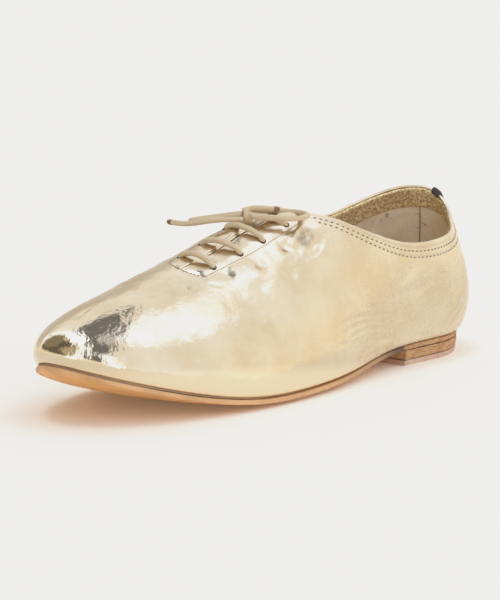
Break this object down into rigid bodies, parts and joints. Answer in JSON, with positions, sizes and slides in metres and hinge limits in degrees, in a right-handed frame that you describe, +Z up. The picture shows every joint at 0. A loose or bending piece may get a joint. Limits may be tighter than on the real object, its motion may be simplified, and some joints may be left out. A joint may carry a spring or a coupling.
{
  "type": "jazz shoe",
  "caption": "Soft low dance shoe with a hollow gold foil leather upper, laced throat, thin leather sole and low stacked heel.",
  "frame": {"origin": "on the floor, at the middle of the shoe's length and width without its tied lace", "axes": "+Y towards the heel with the toe at -Y, +X towards the outer side of this left shoe, +Z up"},
  "size_m": [0.0784, 0.2462, 0.0735],
  "materials": {
    "gold_leather": "pale gold foil, soft sheen",
    "gold_facing": "darker gold, grained",
    "sole_leather": "smooth tan, satin",
    "heel_leather": "rough brown layers",
    "top_piece_leather": "light tan, matte",
    "lining_suede": "suede, matte",
    "strip_dark": "dark woven tape",
    "lace_cotton": "beige round cotton lace"
  },
  "bodies": {
    "root": {"outsole": "sole_leather", "insole": "lining_suede", "heel_stack": "heel_leather", "heel_top_piece": "top_piece_leather", "upper": "gold_leather", "eyestay": "gold_leather", "tongue": "gold_leather", "collar_facing": "gold_facing", "back_strip": "strip_dark", "lace_bar_1": "lace_cotton", "lace_bar_2": "lace_cotton", "lace_bar_3": "lace_cotton", "lace_knot": "lace_cotton", "lace_loop_outer": "lace_cotton", "lace_loop_inner": "lace_cotton", "lace_end_outer": "lace_cotton", "lace_end_inner": "lace_cotton"}
  },
  "joints": []
}
